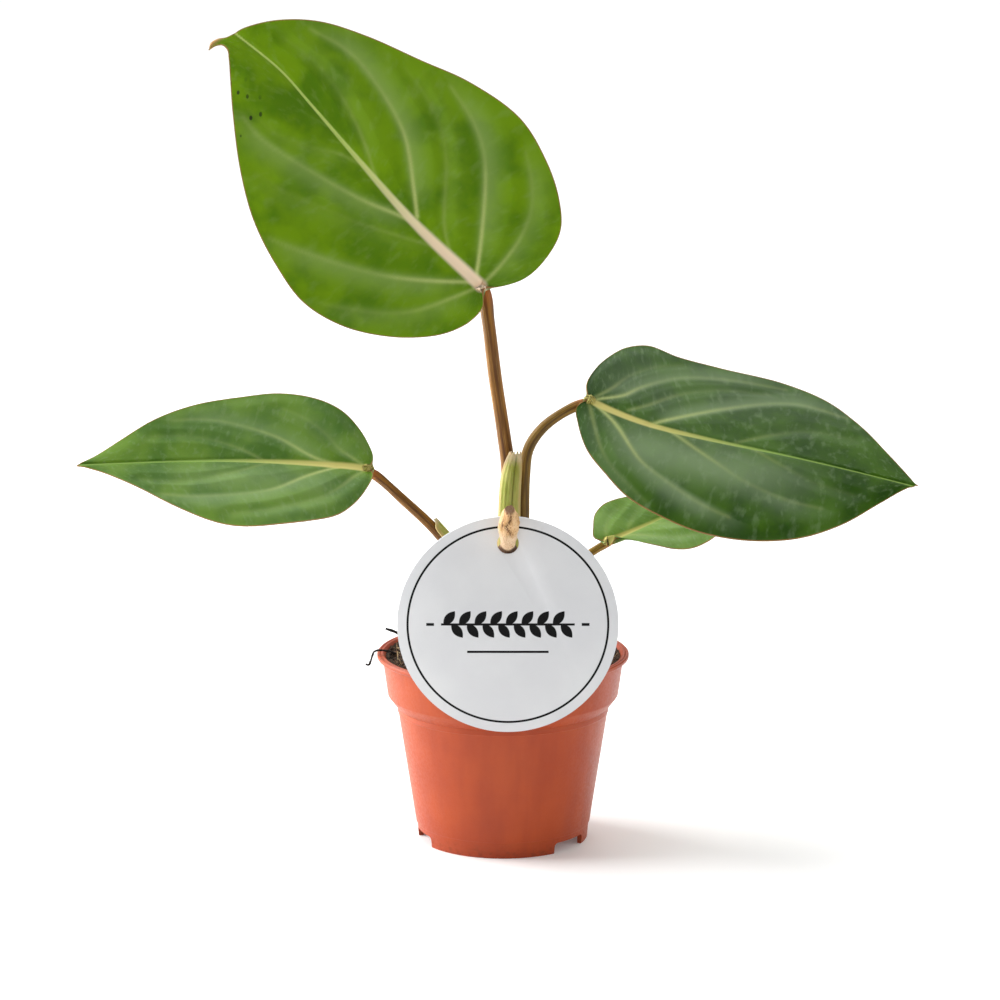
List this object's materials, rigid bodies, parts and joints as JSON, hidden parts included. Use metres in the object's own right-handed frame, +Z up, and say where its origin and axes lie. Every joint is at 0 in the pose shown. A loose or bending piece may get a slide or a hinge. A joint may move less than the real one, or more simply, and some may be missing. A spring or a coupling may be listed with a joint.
{
  "type": "potted philodendron",
  "caption": "Young potted philodendron with heart-shaped leaves on slim petioles, in a small moulded nursery pot with a round label card on a stick.",
  "frame": {"origin": "centre of the pot's base, on the ground", "axes": "+Z up along the pot's axis, -Y towards the front where the label card hangs, +X to the right seen from the front"},
  "size_m": [0.1967, 0.0706, 0.1936],
  "materials": {
    "pot_plastic": "semi-matt moulded terracotta-orange plastic",
    "potting_mix": "dark crumbly peat and bark mix, matt",
    "leaf": "satin green leaf with pale veins",
    "petiole": "olive to reddish-brown leaf stalk, smooth, streaked",
    "stem": "green-brown short shoot",
    "cataphyll": "pale yellow-green papery sheath with beige edges",
    "root": "fleshy off-white root",
    "card": "matt light grey card with a thin dark printed ring",
    "stick_wood": "rough light tan wood, bare",
    "perlite": "off-white porous grain",
    "bark": "dark brown bark chip",
    "dark_fibre": "black root fibre and twig, matt"
  },
  "bodies": {
    "root": {"pot": "pot_plastic", "soil": "potting_mix", "stem": "stem", "root_1": "root", "root_2": "root", "root_3": "root", "root_4": "root", "petiole_1": "petiole", "petiole_2": "petiole", "petiole_3": "petiole", "petiole_4": "petiole", "leaf_blade_1": "leaf", "leaf_blade_2": "leaf", "leaf_blade_3": "leaf", "leaf_blade_4": "leaf", "cataphyll_front": "cataphyll", "cataphyll_left": "cataphyll", "label_card": "card", "label_stick": "stick_wood", "perlite_1": "perlite", "perlite_2": "perlite", "perlite_3": "perlite", "perlite_4": "perlite", "perlite_5": "perlite", "perlite_6": "perlite", "perlite_7": "perlite", "perlite_8": "perlite", "perlite_9": "perlite", "perlite_10": "perlite", "perlite_11": "perlite", "bark_chip_1": "bark", "bark_chip_2": "bark", "bark_chip_3": "bark", "bark_chip_4": "bark", "bark_chip_5": "bark", "bark_chip_6": "bark", "bark_chip_7": "bark", "bark_chip_8": "bark", "root_fibre": "dark_fibre", "twig": "dark_fibre"}
  },
  "joints": []
}
